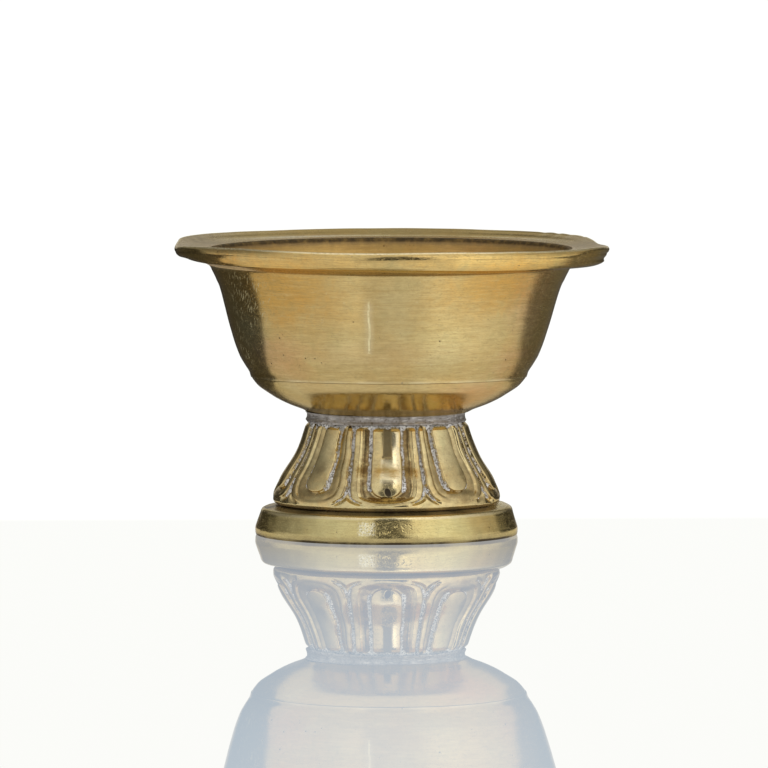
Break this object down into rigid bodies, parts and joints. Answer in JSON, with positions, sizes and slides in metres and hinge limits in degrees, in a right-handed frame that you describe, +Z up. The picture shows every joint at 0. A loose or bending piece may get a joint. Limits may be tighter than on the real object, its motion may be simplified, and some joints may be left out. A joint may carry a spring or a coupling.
{
  "type": "footed butter lamp",
  "caption": "Footed brass oil lamp with a wide turned bowl, an everted rim, a hollow foot of chased lotus petals, a stepped base ring and a lift-out cotton wick.",
  "frame": {"origin": "centre of the ring that the lamp stands on, at table height", "axes": "+Z up along the lamp's turning axis; -Y is the front, where one petal faces straight forward"},
  "size_m": [0.1368, 0.1368, 0.0927],
  "materials": {
    "brass": "old turned brass, worn bright, with fine turning lines and brown spots",
    "chased_brass": "cast and chased brass, bright on the high parts, with pale grey residue in the grooves",
    "soft_solder": "dull grey soft solder, finished with a scraper",
    "brazing_metal": "rough brazing run, duller and redder than the sheet",
    "bamboo": "bare split bamboo, oil-stained",
    "cotton": "loosely twisted undyed cotton, singed at the tip"
  },
  "bodies": {
    "lamp": {"bowl_wall": "brass", "bowl_pan": "brass", "bowl_seam_braze": "brazing_metal", "neck_solder": "soft_solder", "lotus_foot": "chased_brass", "base_ring": "brass", "base_seam_solder": "soft_solder", "socket_rivet": "brass", "rivet_washer": "brass"},
    "wick": {"wick_stick": "bamboo", "cotton_wick": "cotton"}
  },
  "joints": [
    {"name": "wick_lift", "type": "slide", "parent": "lamp", "child": "wick", "axis": [0, 0, 1], "range_m": [0, 0.075]}
  ]
}
